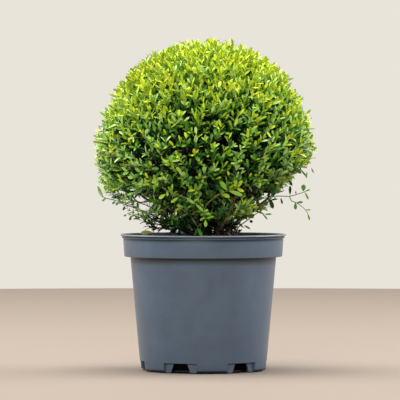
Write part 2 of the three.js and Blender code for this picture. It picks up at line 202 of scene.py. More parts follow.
pot_profile = [  # radius and height
    # Under the pot: a flat middle pad, a shallow groove and the foot ring that it stands on.
    (0, 0), (58, 0), (60, 1), (86, 1), (88, 0), (103, 0), (104.9, 0.5), (105.9, 1.6),
    # The tapered body, and the step out to the collar.
    (106.2, 3), (108.0, 24), (112.6, 75), (117.2, 126), (121.2, 170), (122.9, 189), (123.2, 189.7),
    (123.9, 190), (131.4, 190.5), (132.5, 190.8), (133.1, 191.4),
    # The collar, the bead and the rolled lip.
    (133.3, 192.2), (134.2, 205), (135.1, 218.4), (135, 219.8), (134.8, 220.6), (135.4, 221.3),
    (136.8, 221.7), (137.5, 222.2), (137.5, 223), (136.8, 223.6), (136.7, 224), (136.7, 224.8),
    (137.2, 225.2), (139, 225.5), (139.8, 226.1), (140, 226.8), (139.6, 227.7), (138.6, 228.3),
    (136.6, 228.5), (135.2, 228), (134.5, 226.8), (134.1, 225.2),
    # Down inside: the collar, its floor, the body's wall and the base.
    (133.3, 218), (132.2, 204), (131.3, 193.2), (130.8, 192.3), (130, 192), (122.4, 192),
    (121.4, 191.6), (121, 190.6), (113.8, 110), (105.4, 18.6), (104.8, 18), (100.4, 17.8), (99.9, 17.2),
    (99.4, 6), (98.6, 3.9), (96.5, 3), (0, 3),
]


def metres(point):
    return Vector(point) * MM


drain_angles = [math.radians(DRAIN_FIRST - 90 + k * 360 / DRAINS) for k in range(DRAINS)]
half = math.radians(DRAIN_WIDTH / 2)
bm = bmesh.new()
for middle in drain_angles:
    lower, upper = ([metres((r, 0, z)) for r in (DRAIN_FLOOR, BEYOND)] for z in (BELOW, DRAIN_HEIGHT))
    side = bm.faces.new([bm.verts.new(corner) for corner in lower + upper[::-1]])
    start = Matrix.Rotation(middle - half, 4, "Z")
    bmesh.ops.transform(bm, matrix=start, verts=side.verts)
    outline = [side] + side.verts[:] + side.edges[:]
    bmesh.ops.spin(bm, geom=outline, angle=2 * half, steps=16, **AXIS)
bmesh.ops.recalc_face_normals(bm, faces=bm.faces)
recesses = new_piece("recess_cutter", mesh_of("recess_cutter", bm))

bm = bmesh.new()
for middle in drain_angles:
    made = bmesh.ops.create_cube(bm, size=1)
    for corner in made["verts"]:
        wide, high = (HOLE_TOP, HOLE_HEIGHT) if corner.co.z > 0 else (HOLE_FOOT, BELOW)
        corner.co = metres((HOLE_MIDDLE + HOLE_DEPTH * corner.co.x, wide * corner.co.y, high))
    bmesh.ops.transform(bm, matrix=Matrix.Rotation(middle, 4, "Z"), verts=made["verts"])
holes = new_piece("hole_cutter", mesh_of("hole_cutter", bm))

bm = bmesh.new()
points = [bm.verts.new(metres((r, 0, z))) for r, z in pot_profile]
line = [bm.edges.new(pair) for pair in zip(points, points[1:])]
bmesh.ops.spin(bm, geom=points + line, angle=2 * math.pi, steps=POT_STEPS, use_merge=True, **AXIS)
bmesh.ops.remove_doubles(bm, verts=bm.verts, dist=1e-6)
bmesh.ops.recalc_face_normals(bm, faces=bm.faces)
pot = new_piece("moulded_pot", mesh_of("moulded_pot", bm))
for cutter in (recesses, holes):
    cut = pot.modifiers.new("drains", "BOOLEAN")
    cut.operation = "DIFFERENCE"
    cut.solver = "EXACT"
    cut.object = cutter
round_over = pot.modifiers.new("moulded_edges", "BEVEL")
round_over.width = MOULD_ROUND * MM
round_over.segments = 2
round_over.limit_method = "ANGLE"
round_over.angle_limit = math.radians(50)
cut_mesh = bpy.data.meshes.new_from_object(pot.evaluated_get(bpy.context.evaluated_depsgraph_get()))
pot.modifiers.clear()
pot.data = cut_mesh
cut_mesh.shade_smooth()
cut_mesh.set_sharp_from_angle(angle=SHARP_FOLD)
for cutter in (recesses, holes):
    bpy.data.objects.remove(cutter)

# Recycled polypropylene: a matte skin from the spark-eroded mould, clouded where regrind has mixed
# unevenly, with faint upright flow marks. Shade is painted into it: under the collar, the bead and the
# lip, at the drains' upper edges, a little low on the body, at the foot, and in a ring under the pot
# that darkens the drains. The rim is painted paler, partly scuffs and partly a painted highlight.
# Painted shade by height: dark bands under the collar, the bead and the lip, a dark line at the foot,
# and a slightly darker lower body.
PAINTED_SHADE_TOP = 240
PAINTED_SHADE_BY_HEIGHT = [  # height, and the colour that the skin is multiplied by there
    (2.6, "#3a3a38"), (4.2, "#f0f0f0"), (120, "#f8f8f8"), (178, "#ffffff"), (185, "#b4b4b2"),
    (188.4, "#4a4a48"), (190.45, "#343432"), (190.55, "#ffffff"), (216.4, "#ffffff"),
    (218.4, "#cececc"), (219.8, "#888886"), (221.3, "#828280"), (221.9, "#ffffff"),
    (223.4, "#ffffff"), (224, "#8c8c8a"), (225.4, "#8c8c8a"), (226, "#ffffff"),
]
plastic, tree, surface = new_material("moulded_recycled_polypropylene")
place = add_node(tree, "ShaderNodeTexCoord").outputs["Object"]
cloud = add_node(
    tree, "ShaderNodeTexNoise", {"Vector": place, "Scale": 28, "Detail": 4, "Roughness": 0.55}
)
stretch = add_node(tree, "ShaderNodeMapping", {"Vector": place, "Scale": (1, 1, 0.06)})
flow = add_node(tree, "ShaderNodeTexNoise", {"Vector": stretch, "Scale": 260, "Detail": 2})
both = add_node(tree, "ShaderNodeMath", {0: flow, 1: 0.15, 2: cloud}, operation="MULTIPLY_ADD")
shade = add_node(
    tree, "ShaderNodeValToRGB", {"Fac": both}, stops=[(0.35, "#52647a"), (0.8, "#5b7088")]
)

# Where a point lies: its height, its radius and whether it faces outwards, and the bands of these that
# the painted shade and the rim's paler paint are kept to.
up = add_node(tree, "ShaderNodeSeparateXYZ", {"Vector": place}).outputs["Z"]
plan = add_node(tree, "ShaderNodeVectorMath", {0: place, 1: (1, 1, 0)}, operation="MULTIPLY")
radius = add_node(tree, "ShaderNodeVectorMath", {0: plan}, operation="LENGTH").outputs["Value"]
normal = add_node(tree, "ShaderNodeTexCoord").outputs["Normal"]
outward = add_node(tree, "ShaderNodeVectorMath", {0: plan, 1: normal}, operation="DOT_PRODUCT")
past_drains, out_side, rim, ring_inner, ring_outer, in_recess, under_edge = [
    add_node(
        tree,
        "ShaderNodeMapRange",
        {"Value": value, "From Min": low, "From Max": high, "To Min": at_low, "To Max": at_high},
    )
    for value, low, high, at_low, at_high in (
        (radius, 0.1035, 0.1045, 0, 1),
        (outward.outputs["Value"], -0.02, 0, 0, 1),
        (up, 0.2262, 0.2276, 0, 1),
        (radius, 0.082, 0.086, 0, 1),
        (radius, 0.096, 0.098, 0, 1),
        (radius, 0.1028, 0.1034, 1, 0),
        (up, 0.0126, 0.0146, 0, 0.7),
    )
]
outside = add_node(tree, "ShaderNodeMath", {0: past_drains, 1: out_side}, operation="MULTIPLY")

# The painted shade by height, the paler rim, the ring of painted shade under the pot, and the line of
# painted shade at the top of each recess.
height = add_node(tree, "ShaderNodeMath", {0: up, 1: 1 / (PAINTED_SHADE_TOP * MM)}, operation="MULTIPLY")
stops = [(0, PAINTED_SHADE_BY_HEIGHT[0][1]), (1, PAINTED_SHADE_BY_HEIGHT[-1][1]), *[(z / PAINTED_SHADE_TOP, colour) for z, colour in PAINTED_SHADE_BY_HEIGHT]]
# Painted shade, multiplied into the outer skin by height.
painted_shade = add_node(tree, "ShaderNodeValToRGB", {"Fac": height}, stops=stops)
shaded_skin = add_node(
    tree,
    "ShaderNodeMix",
    {"Factor": outside, 6: shade, 7: painted_shade},
    data_type="RGBA",
    blend_type="MULTIPLY",
)
# The top of the rim is painted paler: partly scuffs, partly a painted highlight.
scuffed_and_highlit = add_node(
    tree, "ShaderNodeMix", {"Factor": rim, 6: shaded_skin.outputs[2], 7: linear("#a2aeb6")}, data_type="RGBA"
)
# Painted shade: a near-black ring under the pot that darkens the drains, and a dark line at the top of
# each recess.
painted_shade_ring = add_node(tree, "ShaderNodeMath", {0: ring_inner, 1: ring_outer}, operation="SUBTRACT")
painted_shade_lines = add_node(
    tree, "ShaderNodeMath", {0: in_recess, 1: under_edge, 2: painted_shade_ring}, operation="MULTIPLY_ADD"
)
with_painted_shade = add_node(
    tree,
    "ShaderNodeMix",
    {"Factor": painted_shade_lines, 6: scuffed_and_highlit.outputs[2], 7: linear("#0c0a08")},
    data_type="RGBA",
)
grain = add_node(tree, "ShaderNodeTexNoise", {"Vector": place, "Scale": 900, "Detail": 1})
skin = add_node(tree, "ShaderNodeBump", {"Strength": 0.12, "Distance": 0.0004, "Height": grain})
dull = add_node(
    tree,
    "ShaderNodeMapRange",
    {"Value": cloud, "From Min": 0.3, "From Max": 0.7, "To Min": 0.3, "To Max": 0.4},
)
add_node(
    tree,
    "ShaderNodeBsdfPrincipled",
    {"Base Color": with_painted_shade.outputs[2], "Roughness": dull, "Normal": skin, "IOR": 1.49},
    to=surface,
)
pot.data.materials.append(plastic)
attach(pot, "root")
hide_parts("pot")


# The growing medium: peat-free compost of composted bark and fibre, firmed to a thumb's width under
# the rim. Crumbs and chips of bark lie loose on top; its body keeps the CAD solid.
SOIL_Z = 208
SOIL_R = 130.5
EDGE_WIDTH = 6
CRUMB_SIZE, CRUMB_HEIGHT = 9, 1.6
CHIPS = 420
CHIP_LIFT = 1.2
rng = np.random.default_rng(177)

# Damp compost: nearly black brown fibre and bark, rough and with no gloss. Low down it is painted
# nearly black, as painted shade that shows in the drains.
compost, tree, surface = new_material("damp_bark_compost")
place = add_node(tree, "ShaderNodeTexCoord").outputs["Object"]
lumps = add_node(tree, "ShaderNodeTexVoronoi", {"Vector": place, "Scale": 240})
fibre = add_node(tree, "ShaderNodeTexNoise", {"Vector": place, "Scale": 420, "Detail": 5})
shade = add_node(
    tree, "ShaderNodeValToRGB", {"Fac": fibre}, stops=[(0.36, "#17100b"), (0.72, "#46342a")]
)
up = add_node(tree, "ShaderNodeSeparateXYZ", {"Vector": place}).outputs["Z"]
# Painted shade: the compost is made nearly black low down.
painted_shade_low = add_node(
    tree,
    "ShaderNodeMapRange",
    {"Value": up, "From Min": 0.02, "From Max": 0.06, "To Min": 0.9, "To Max": 0},
)
compost_with_painted_shade = add_node(
    tree, "ShaderNodeMix", {"Factor": painted_shade_low, 6: shade, 7: linear("#020202")}, data_type="RGBA"
)
rough = add_node(tree, "ShaderNodeBump", {"Strength": 0.8, "Distance": 0.002, "Height": lumps})
add_node(
    tree,
    "ShaderNodeBsdfPrincipled",
    {"Base Color": compost_with_painted_shade.outputs[2], "Roughness": 0.92, "Specular IOR Level": 0.2, "Normal": rough},
    to=surface,
)
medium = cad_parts["growing_medium"]
medium.data.materials.clear()
medium.data.materials.append(compost)

bm = bmesh.new()
bmesh.ops.create_circle(bm, cap_ends=True, segments=72, radius=SOIL_R * MM)
bmesh.ops.translate(bm, vec=metres((0, 0, SOIL_Z)), verts=bm.verts)
bmesh.ops.poke(bm, faces=bm.faces)
for _ in range(4):
    bmesh.ops.subdivide_edges(bm, edges=bm.edges, cuts=1, use_grid_fill=True)
for corner in bm.verts:
    x, y = corner.co.x / MM, corner.co.y / MM
    edge = max(0, 1 - (SOIL_R - math.hypot(x, y)) / EDGE_WIDTH)
    lump = noise.fractal(Vector((x / CRUMB_SIZE, y / CRUMB_SIZE, 3)), 1.0, 2.0, 4)
    corner.co.z = (SOIL_Z + 0.4 + CRUMB_HEIGHT * abs(lump) * (1 - edge) - 1.2 * edge) * MM
for _ in range(CHIPS):
    r, a = SOIL_R * 0.96 * math.sqrt(rng.random()), 2 * math.pi * rng.random()
    size = (1.2 + 3.4 * rng.random() ** 2) * MM
    chip = bmesh.ops.create_icosphere(bm, subdivisions=1, radius=size)["verts"]
    turn = Matrix.Rotation(2 * math.pi * rng.random(), 4, "Z")
    tilt = Matrix.Rotation(0.5 * rng.random(), 4, "X")
    flat = Matrix.Diagonal((1.5, 0.8, 0.42, 1))
    spot = Matrix.Translation(metres((r * math.cos(a), r * math.sin(a), SOIL_Z + CHIP_LIFT)))
    bmesh.ops.transform(bm, matrix=spot @ (turn @ tilt) @ flat, verts=chip)
crumbs = new_piece("compost_crumbs", mesh_of("compost_crumbs", bm), compost)
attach(crumbs, "root")


# The stems: old box wood, pale brown and corky, in a short root crown from which every bough rises.
# Upright boughs carry the ball, and low ones carry the loose skirt of shoots that was never clipped.
# Each bough starts a little way into the crown, so that it grows out of the wood.
STEM_FOOT = Vector((13, 2, SOIL_Z + 0.3))
STEM_RADII = [25, 20, 17.5, 16.5]
STEM_HEIGHTS = [0, 5, 12, 19]
STEM_LEAN = 1.5
STEM_RELIEF = 0.1
BOUGH_RELIEF = 0.12
BOUGH_R = (6.4, 4.3)
LOW_BOUGH_R = (4.2, 2.7)
STRAY_BOUGH_R = (3, 1.9)
UPRIGHT = [  # name, tip, thickness
    ("bough_front", (-2, -34, 271), 1),
    ("bough_front_right", (49, -23, 274), 1.1),
    ("bough_back_right", (37, 31, 272), 1),
    ("bough_back_left", (-14, 38, 271), 1),
    ("bough_left", (-37, -6, 271), 1),
]
LOW = [  # name, bearing, length and rise of the spray that it carries
    ("front", -8, 88, 0.43),
    ("front_right", 35, 70, 0.43),
    ("right", 72, 46, 0.62),
    ("back_right", 130, 74, 0.43),
    ("back", -179, 88, 0.43),
    ("back_left", -129, 88, 0.43),
    ("left", -80, 88, 0.43),
    ("front_left", -45, 88, 0.43),
]
LOW_OUT = 47
LOW_TIP_Z = 241
STRAY_BOUGH = [(30, 5, 224), (70, 10, 258), (108, 12, 287)]
BOUGH_ROOT = (9.5, -6)  # out from the stem's middle, and down from its top
LOW_ROOT = (10, -8)
ASKEW = (0.31, -0.86, 0.41)  # a direction that no limb or twig follows


def bearing(degrees):
    """The direction of a compass angle, from the front towards +X."""
    a = math.radians(degrees)
    return Vector((math.sin(a), -math.cos(a), 0))


def smooth_path(points, count):
    """A Catmull-Rom curve through a few points."""
    ends = [points[0] * 2 - points[1], *points, points[-1] * 2 - points[-2]]
    path = []
    for i in range(count + 1):
        at = min(i * (len(points) - 1) / count, len(points) - 1.0001)
        k, t = int(at), at - int(at)
        a, b, c, d = ends[k : k + 4]
        square, cube = 2 * a - 5 * b + 4 * c - d, 3 * b - a - 3 * c + d
        path.append(0.5 * (2 * b + (c - a) * t + square * t**2 + cube * t**3))
    return path


def add_limb(bm, path, radii, sides, relief):
    """A closed limb along a path in millimetres, its bark ridged lengthwise by `relief`."""
    turn = Vector(ASKEW)
    ring = bmesh.ops.create_circle(bm, cap_ends=False, segments=sides, radius=1)["verts"]
    first = ring
    edges = list({e for v in ring for e in v.link_edges})
    for i, centre in enumerate(path):
        along = (path[min(i + 1, len(path) - 1)] - path[max(i - 1, 0)]).normalized()
        turn = (turn - along * turn.dot(along)).normalized()
        up = along.cross(turn)
        if i:
            grown = bmesh.ops.extrude_edge_only(bm, edges=edges)["geom"]
            edges = [e for e in grown if isinstance(e, bmesh.types.BMEdge) and e.is_boundary]
            ring = [v for v in grown if isinstance(v, bmesh.types.BMVert)]
        for k, corner in enumerate(ring):
            a = 2 * math.pi * k / sides
            out = turn * math.cos(a) + up * math.sin(a)
            ridge = noise.noise(Vector((out.x * 2.6, out.y * 2.6, centre.z / 14)))
            ridge += 0.5 * noise.noise((centre + out * radii[i]) / 2.2)
            corner.co = (centre + out * radii[i] * (1 + relief * ridge)) * MM
    bmesh.ops.contextual_create(bm, geom=first)
    bmesh.ops.contextual_create(bm, geom=ring)


bm = bmesh.new()
stem_path = [
    STEM_FOOT + Vector((STEM_LEAN * max(0, i - 1) / 2, 0, h)) for i, h in enumerate(STEM_HEIGHTS)
]
stem_top = stem_path[-1]
stem_radii = np.interp(range(10), [0, 3, 6, 9], STEM_RADII)
add_limb(bm, smooth_path(stem_path, 9), stem_radii, 40, STEM_RELIEF)
boughs = []
for _, tip, thick in UPRIGHT:
    tip = Vector(tip)
    out = (tip - stem_top) * Vector((1, 1, 0))
    out.normalize()
    start = stem_top + out * BOUGH_ROOT[0] + Vector((0, 0, BOUGH_ROOT[1]))
    path = smooth_path([start, start.lerp(tip, 0.45) - out * 4, tip], 22)
    add_limb(bm, path, np.linspace(*BOUGH_R, 23) * thick, 18, BOUGH_RELIEF)
    boughs.append(path)
low_boughs = []
for _, az, _, _ in LOW:
    out = bearing(az)
    start = stem_top + out * LOW_ROOT[0]
    start.z = stem_top.z + LOW_ROOT[1]
    tip = out * LOW_OUT + Vector((0, 0, LOW_TIP_Z))
    path = smooth_path([start, start.lerp(tip, 0.5) + Vector((0, 0, -2)), tip], 12)
    add_limb(bm, path, np.linspace(*LOW_BOUGH_R, 13), 14, BOUGH_RELIEF)
    low_boughs.append(path)
path = smooth_path([Vector(p) for p in STRAY_BOUGH], 20)
add_limb(bm, path, np.linspace(*STRAY_BOUGH_R, 21), 12, BOUGH_RELIEF)
low_boughs.append(path)
bmesh.ops.recalc_face_normals(bm, faces=bm.faces)

# Box bark: pale grey-brown cork in fine plates, darker in its cracks, with no gloss at all.
bark, tree, surface = new_material("corky_box_bark")
place = add_node(tree, "ShaderNodeTexCoord").outputs["Object"]
stretch = add_node(tree, "ShaderNodeMapping", {"Vector": place, "Scale": (1, 1, 0.3)})
plates = add_node(tree, "ShaderNodeTexNoise", {"Vector": stretch, "Scale": 520, "Detail": 5})
shade = add_node(
    tree, "ShaderNodeValToRGB", {"Fac": plates}, stops=[(0.36, "#4a3826"), (0.66, "#8d7a62")]
)
cracks = add_node(tree, "ShaderNodeBump", {"Strength": 0.7, "Distance": 0.001, "Height": plates})
add_node(
    tree,
    "ShaderNodeBsdfPrincipled",
    {"Base Color": shade, "Roughness": 0.88, "Specular IOR Level": 0.25, "Normal": cracks},
    to=surface,
)
stems = new_piece("bark_stems", mesh_of("bark_stems", bm), bark)
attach(stems, "root")
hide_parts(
    "main_stem",
    *[name for name, _, _ in UPRIGHT],
    *["low_bough_" + name for name, _, _, _ in LOW],
    "bough_to_stray_shoot_right",
)


# The crown's reach, by the rule that the solids follow: a clipped sphere, worn back low on the right.
# Heights in the ball run from -1 at its lowest point to 1 at its highest.
BALL = np.array([2.5, 0, 373])
BALL_R = 186
THIN_FROM, THIN_OVER = 0.08, 0.34
THIN_DEPTH = 0.2
GOLDEN = math.pi * (3 - math.sqrt(5))
UP = np.array([0, 0, 1])


def unit(v):
    return v / max(np.linalg.norm(v), 1e-9)


def graded(value, stops):
    """The value of a curve that is given by stops of (place, value)."""
    return np.interp(value, *zip(*stops))


def reach(direction):
    """How far the crown reaches from the ball's middle."""
    low = np.clip((-direction[2] - THIN_FROM) / THIN_OVER, 0, 1)
    low = low * low * (3 - 2 * low)
    right = max(0, direction[0] / max(math.hypot(direction[0], direction[1]), 1e-6))
    return BALL_R * (1 - THIN_DEPTH * low * right**1.5)


# Shoots. Box leaves stand in opposite pairs, each pair square to the one before, and a shoot ends in
# a small upright pair. A shoot is kept as its twig's points and the place and pose of every leaf. A
# leaf's tone is its lightness, from about 0 inside the plant to 1 at the youngest tips: its age, and
# painted light and shade as well.
# Painted sheen: a leaf that shines gets a paler tone, a painted reflection of the sky in its wax, as
# well as a glossier finish.
SATIN_PAINTED_SHEEN = 3  # is added to the tone of a leaf that shines
PAINTED_SHEEN_SHARE = [(300, 0.52), (400, 0.46), (500, 0.12)]  # by height
LOW_LEFT = (-95, 350)  # left of this x and under this z,
MORE_PAINTED_SHEEN = 0.3  # so many more of them shine
PAINTED_SHEEN_FROM = 0.3  # the lowest tone that shines
DULL_SHOOT = 0.05  # shoots darker than this have no shine
GREEN_FROM = 0.1  # shoots lighter than this have green twigs
BOW, SAG = 0.07, 0.04  # as shares of a shoot's length
SPREAD, CLOSING = 52, 20  # degrees between leaf and twig at the foot, and how much less at the tip
TAPER = 0.22
BLADE_WIDTH = 0.4  # the widest part of a blade, as a share of its length
LOOSE = [  # x, z, half width, half height, share of the shoots that is missing
    (-116, 287, 36, 19, 0.72),
    (-72, 252, 22, 16, 0.4),
]
leaf_rows = []  # root, heading, face, length, width share, tone
twig_rows = []  # from, to, radius at each end, whether green


def add_stem(points, thick, thin, green, count):
    """A tapered stem through a few points, in so many lengths."""
    path = smooth_path([np.array(p, float) for p in points], count)
    for k in range(count):
        r0, r1 = (thick + (thin - thick) * i / count for i in (k, k + 1))
        twig_rows.append((path[k], path[k + 1], r0, r1, green))


def add_leaf(root, tip, width, tone, face=(0, -1, 0.45)):
    """One leaf between two points, its face turned to show the width."""
    root, tip = np.array(root, float), np.array(tip, float)
    long = np.linalg.norm(tip - root)
    face = np.array(face) + rng.normal(size=3) * 0.15
    leaf_rows.append((root, (tip - root) / long, face, long, width / (BLADE_WIDTH * long), tone))


def within(point, x, z, wide, high):
    """Whether a point lies in an ellipse, seen from the front."""
    return ((point[0] - x) / wide) ** 2 + ((point[2] - z) / high) ** 2 < 1


def add_shoot(base, tip, pairs, size, tone, rise, first=0.3, thick=0.8):
    """A shoot whose leaves start a share `first` along it and lighten by `rise` to its tip. Returns
    False where the plant is loose and it is left out."""
    if any(within((base + tip) / 2, *spot) and rng.random() < share for *spot, share in LOOSE):
        return False
    axis = tip - base
    length = np.linalg.norm(axis)
    across = unit(np.cross(axis, rng.normal(size=3)))
    bow = across * length * BOW * rng.normal() - UP * length * SAG
    spots = [base + axis * t + bow * 4 * t * (1 - t) for t in np.linspace(0, 1, 4)]
    for k in range(3):
        r0, r1 = thick * (1 - TAPER * k), thick * (1 - TAPER - TAPER * k)
        twig_rows.append((spots[k], spots[k + 1], r0, r1, tone > GREEN_FROM))
    spin = rng.random() * math.pi
    low_left = tip[0] < LOW_LEFT[0] and tip[2] < LOW_LEFT[1]
    painted_sheen_share = graded(tip[2], PAINTED_SHEEN_SHARE) + MORE_PAINTED_SHEEN * low_left
    for k in range(pairs):
        # Painted sheen: a share of the pairs, more of them low down and low on the left, gets the paler
        # shining tone.
        painted_sheen = SATIN_PAINTED_SHEEN * (rng.random() < painted_sheen_share and tone > DULL_SHOOT)
        late = k / max(pairs - 1, 1)
        t = min(first + (1 - first) * (late + 0.08 * rng.normal()), 1)
        root = base + axis * t + bow * 4 * t * (1 - t)
        heading = unit(axis + bow * 4 * (1 - 2 * t))
        side = unit(np.cross(heading, across))
        turn = spin + k * math.pi / 2 + 0.2 * rng.normal()
        side = side * math.cos(turn) + np.cross(heading, side) * math.sin(turn)
        angle = math.radians(SPREAD - CLOSING * late)
        for hand in (1, -1):
            a = angle + 0.18 * rng.normal()
            out = side * hand
            leaf_dir = heading * math.cos(a) + out * math.sin(a) + UP * 0.2
            leaf_dir = unit(leaf_dir + rng.normal(size=3) * 0.15)
            face = heading * math.sin(a) - out * math.cos(a) + UP * 0.25 + rng.normal(size=3) * 0.2
            share = (1 - 0.22 * late**2) * (0.8 + 0.36 * rng.random())
            leaf_tone = tone + rise * late**1.4 + 0.09 * rng.normal()
            leaf_tone += painted_sheen * (leaf_tone > PAINTED_SHEEN_FROM)
            leaf_rows.append((root, leaf_dir, face, size * share, 0.86 + 0.1 * rng.normal(), leaf_tone))
    return True


# The clipped ball: sites by the golden angle, as the solids have them, here in five layers. The outer
# shoots are cut to the sphere and bright; those inside are painted dark, as shade, and fill the gaps
# between them. It is lighter towards its top, with younger growth and painted light, and towards its
# left with painted light; painted shade makes it darker in its hollows, and it is thin in the middle
# of the front.
BALL_LAYERS = [
    # sites, lowest site, depth, hollows' depth, length, pairs, leaf size, tone, rise, first turn
    (1450, -0.55, 4, 20, 42, 5, 16.5, 0.16, 0.88, 0.0),
    (380, 0.3, 5, 16, 34, 4, 16.5, 0.22, 0.78, 0.7),
    (760, -0.55, 24, 16, 40, 4, 15, -0.1, 0.14, 1.1),
    (420, -0.55, 48, 26, 40, 4, 16, -0.2, 0.05, 2.3),
    (260, -0.5, 84, 30, 44, 4, 19, -0.4, 0.02, 0.4),
]
BALL_FLOOR = [(0, 276), (50, 280), (95, 292), (122, 301), (200, 301)]  # radius, height of the underside
STRAGGLERS = 0.35  # the share of shoots that hangs under that on the left
HOLLOWS = 8  # hollows to a ball's radius
THIN_FRONT = np.array([0.05, -1, 0.03])
FLATTER = [(0.1, 0), (0.35, 7), (0.5, 7), (0.8, 3), (1, 3)]  # height in the ball, millimetres cut off
UNEVEN = 9  # the most that the shears cut off unevenly
PATCHES, PATCHES_FROM = 3, Vector((5, 2, 8))
# Painted light and shade: leaves are lighter up the ball, partly younger growth and partly painted
# light, and darker for each millimetre they sit deeper, as painted shade.
LIGHTER_UP_WITH_PAINTED_LIGHT = [(-0.55, 0.095), (-0.2, 0.165), (0.1, 0.105), (0.35, 0.205), (0.6, 0.385), (0.9, 0.475)]
PAINTED_SHADE_IN = 0.031  # for each millimetre
shoots = []
for count, lowest, depth, hollows, length, pairs, size, tone, rise, first_turn in BALL_LAYERS:
    for i in range(count):
        height = 1 - (1 - lowest) * (i + 0.5) / count
        turn = i * GOLDEN + first_turn
        flat = math.sqrt(1 - height * height)
        out = np.array([flat * math.cos(turn), flat * math.sin(turn), height])
        out = unit(out + rng.normal(size=3) * 0.02)
        left, right = max(0, -out[0]), max(0, out[0])
        thin = math.exp(-np.sum((out - THIN_FRONT) ** 2) / 0.09)
        hollow = 0.2 + 1.6 * noise.noise(Vector(out) * HOLLOWS) + 0.35 * thin
        cut = graded(height, FLATTER) * (1 - right)
        cut += UNEVEN * max(0, noise.noise(Vector(out) * PATCHES + PATCHES_FROM))
        sunk = depth + hollows * (0.3 * rng.random() + 0.7 * np.clip(hollow, 0, 1))
        tip = BALL + out * (reach(out) - sunk - cut)
        hangs = height < -0.3 and tip[0] < -30 and rng.random() < STRAGGLERS
        if tip[2] < graded(math.hypot(tip[0], tip[1]), BALL_FLOOR) and not hangs:
            continue
        along = unit(out + UP * 0.45 + rng.normal(size=3) * 0.3)
        # Painted light and shade: a shoot's tone rises with height and on the left and right flanks,
        # and falls the deeper it is sunk.
        light = tone + graded(height, LIGHTER_UP_WITH_PAINTED_LIGHT) + 0.09 * rng.normal() - PAINTED_SHADE_IN * (sunk - depth)
        light += 0.1 * right**3 + left * (0.42 * max(0, height) + 0.16 * (height < -0.25))
        base = tip - along * length * (0.8 + 0.4 * rng.random())
        shoots.append((base, tip, pairs, size, light, rise * (0.77 + 0.23 * height)))

# Under the ball shoots hang from its floor, painted dark as shade in the middle and a little lighter at
# the edge.
HANGING = 230
FLOOR_EDGE = 124
BARE_RIGHT = 95
for i in range(HANGING):
    r, turn = FLOOR_EDGE * math.sqrt((i + 0.5) / HANGING), i * GOLDEN
    out = np.array([math.cos(turn), math.sin(turn), 0])
    tip = out * r + UP * (graded(r, BALL_FLOOR) - 12 + 16 * rng.random())
    if tip[0] > BARE_RIGHT:
        continue
    along = unit(out * 0.9 - UP * 0.35 + rng.normal(size=3) * 0.35)
    light = 0.24 * (r / FLOOR_EDGE) ** 2 - 0.06 + 0.08 * rng.normal()
    shoots.append((tip - along * 32, tip, 4, 15, light, 0.2))

# Low on the left a few small-leaved shoots lean out lower still.
for base, tip, light in [
    ((-86, -20, 258), (-127, -24, 271), 0.46),
    ((-84, -34, 252), (-121, -40, 262), 0.4),
    ((-80, -6, 246), (-113, -10, 254), 0.32),
    ((-92, 20, 266), (-134, 24, 278), 0.46),
]:
    shoots.append((np.array(base, float), np.array(tip, float), 6, 10.5, light, 0.15))

# The network of twigs inside: it starts at the outer halves of the boughs and grows out to the foot
# of every shoot, nearest first. Twigs thicken towards the boughs with the shoots that they feed.
MOST_WOOD = 60000
TO_STEM = 0.35  # how much a twig prefers wood that is a short way from the stem
JOINED = 3
TWIG_LENGTH = 15
TWIG_R, TWIG_THICKENS, THICKEST_TWIG = 0.5, 0.36, 2.6
origin = np.array(STEM_FOOT)
wood = [np.array(p) for path in boughs + low_boughs for p in path[len(path) // 2 :]]
wood_from = [-1] * len(wood)
wood_at = np.zeros((MOST_WOOD, 3))
wood_cost = np.full(MOST_WOOD, 1e9)
wood_at[: len(wood)] = wood
wood_cost[: len(wood)] = [np.linalg.norm(p - origin) for p in wood]


def grow_to(target):
    """Joins a point by a curved twig to the wood that is near it and a short way from the stem."""
    n = len(wood_from)
    far = np.linalg.norm(wood_at[:n] - target, axis=1)
    k = int(np.argmin(far + TO_STEM * wood_cost[:n]))
    if far[k] < JOINED:
        return
    before = wood_from[k]
    lead = unit(wood_at[k] - wood_at[before]) if before >= 0 else unit(target - wood_at[k])
    bend = wood_at[k] + lead * far[k] * 0.3 + rng.normal(size=3) * far[k] * 0.05
    start = wood_at[k].copy()
    count = max(1, int(round(far[k] / TWIG_LENGTH)))
    for i in range(1, count + 1):
        t = i / count
        point = start * (1 - t) ** 2 + bend * 2 * t * (1 - t) + target * t * t
        wood_from.append(k if i == 1 else len(wood_from) - 1)
        m = len(wood_from) - 1
        wood_at[m] = point
        wood_cost[m] = wood_cost[wood_from[m]] + np.linalg.norm(point - wood_at[wood_from[m]])


for base, tip, *leafage in sorted(shoots, key=lambda s: np.linalg.norm(s[0] - origin)):
    if add_shoot(base, tip, *leafage):
        grow_to(base)

fed = np.ones(len(wood_from))
for i in range(len(wood_from) - 1, len(wood) - 1, -1):
    fed[wood_from[i]] += fed[i]
for i in range(len(wood), len(wood_from)):
    r = min(THICKEST_TWIG, TWIG_R * fed[i] ** TWIG_THICKENS)
    twig_rows.append((wood_at[wood_from[i]], wood_at[i], r, r, False))


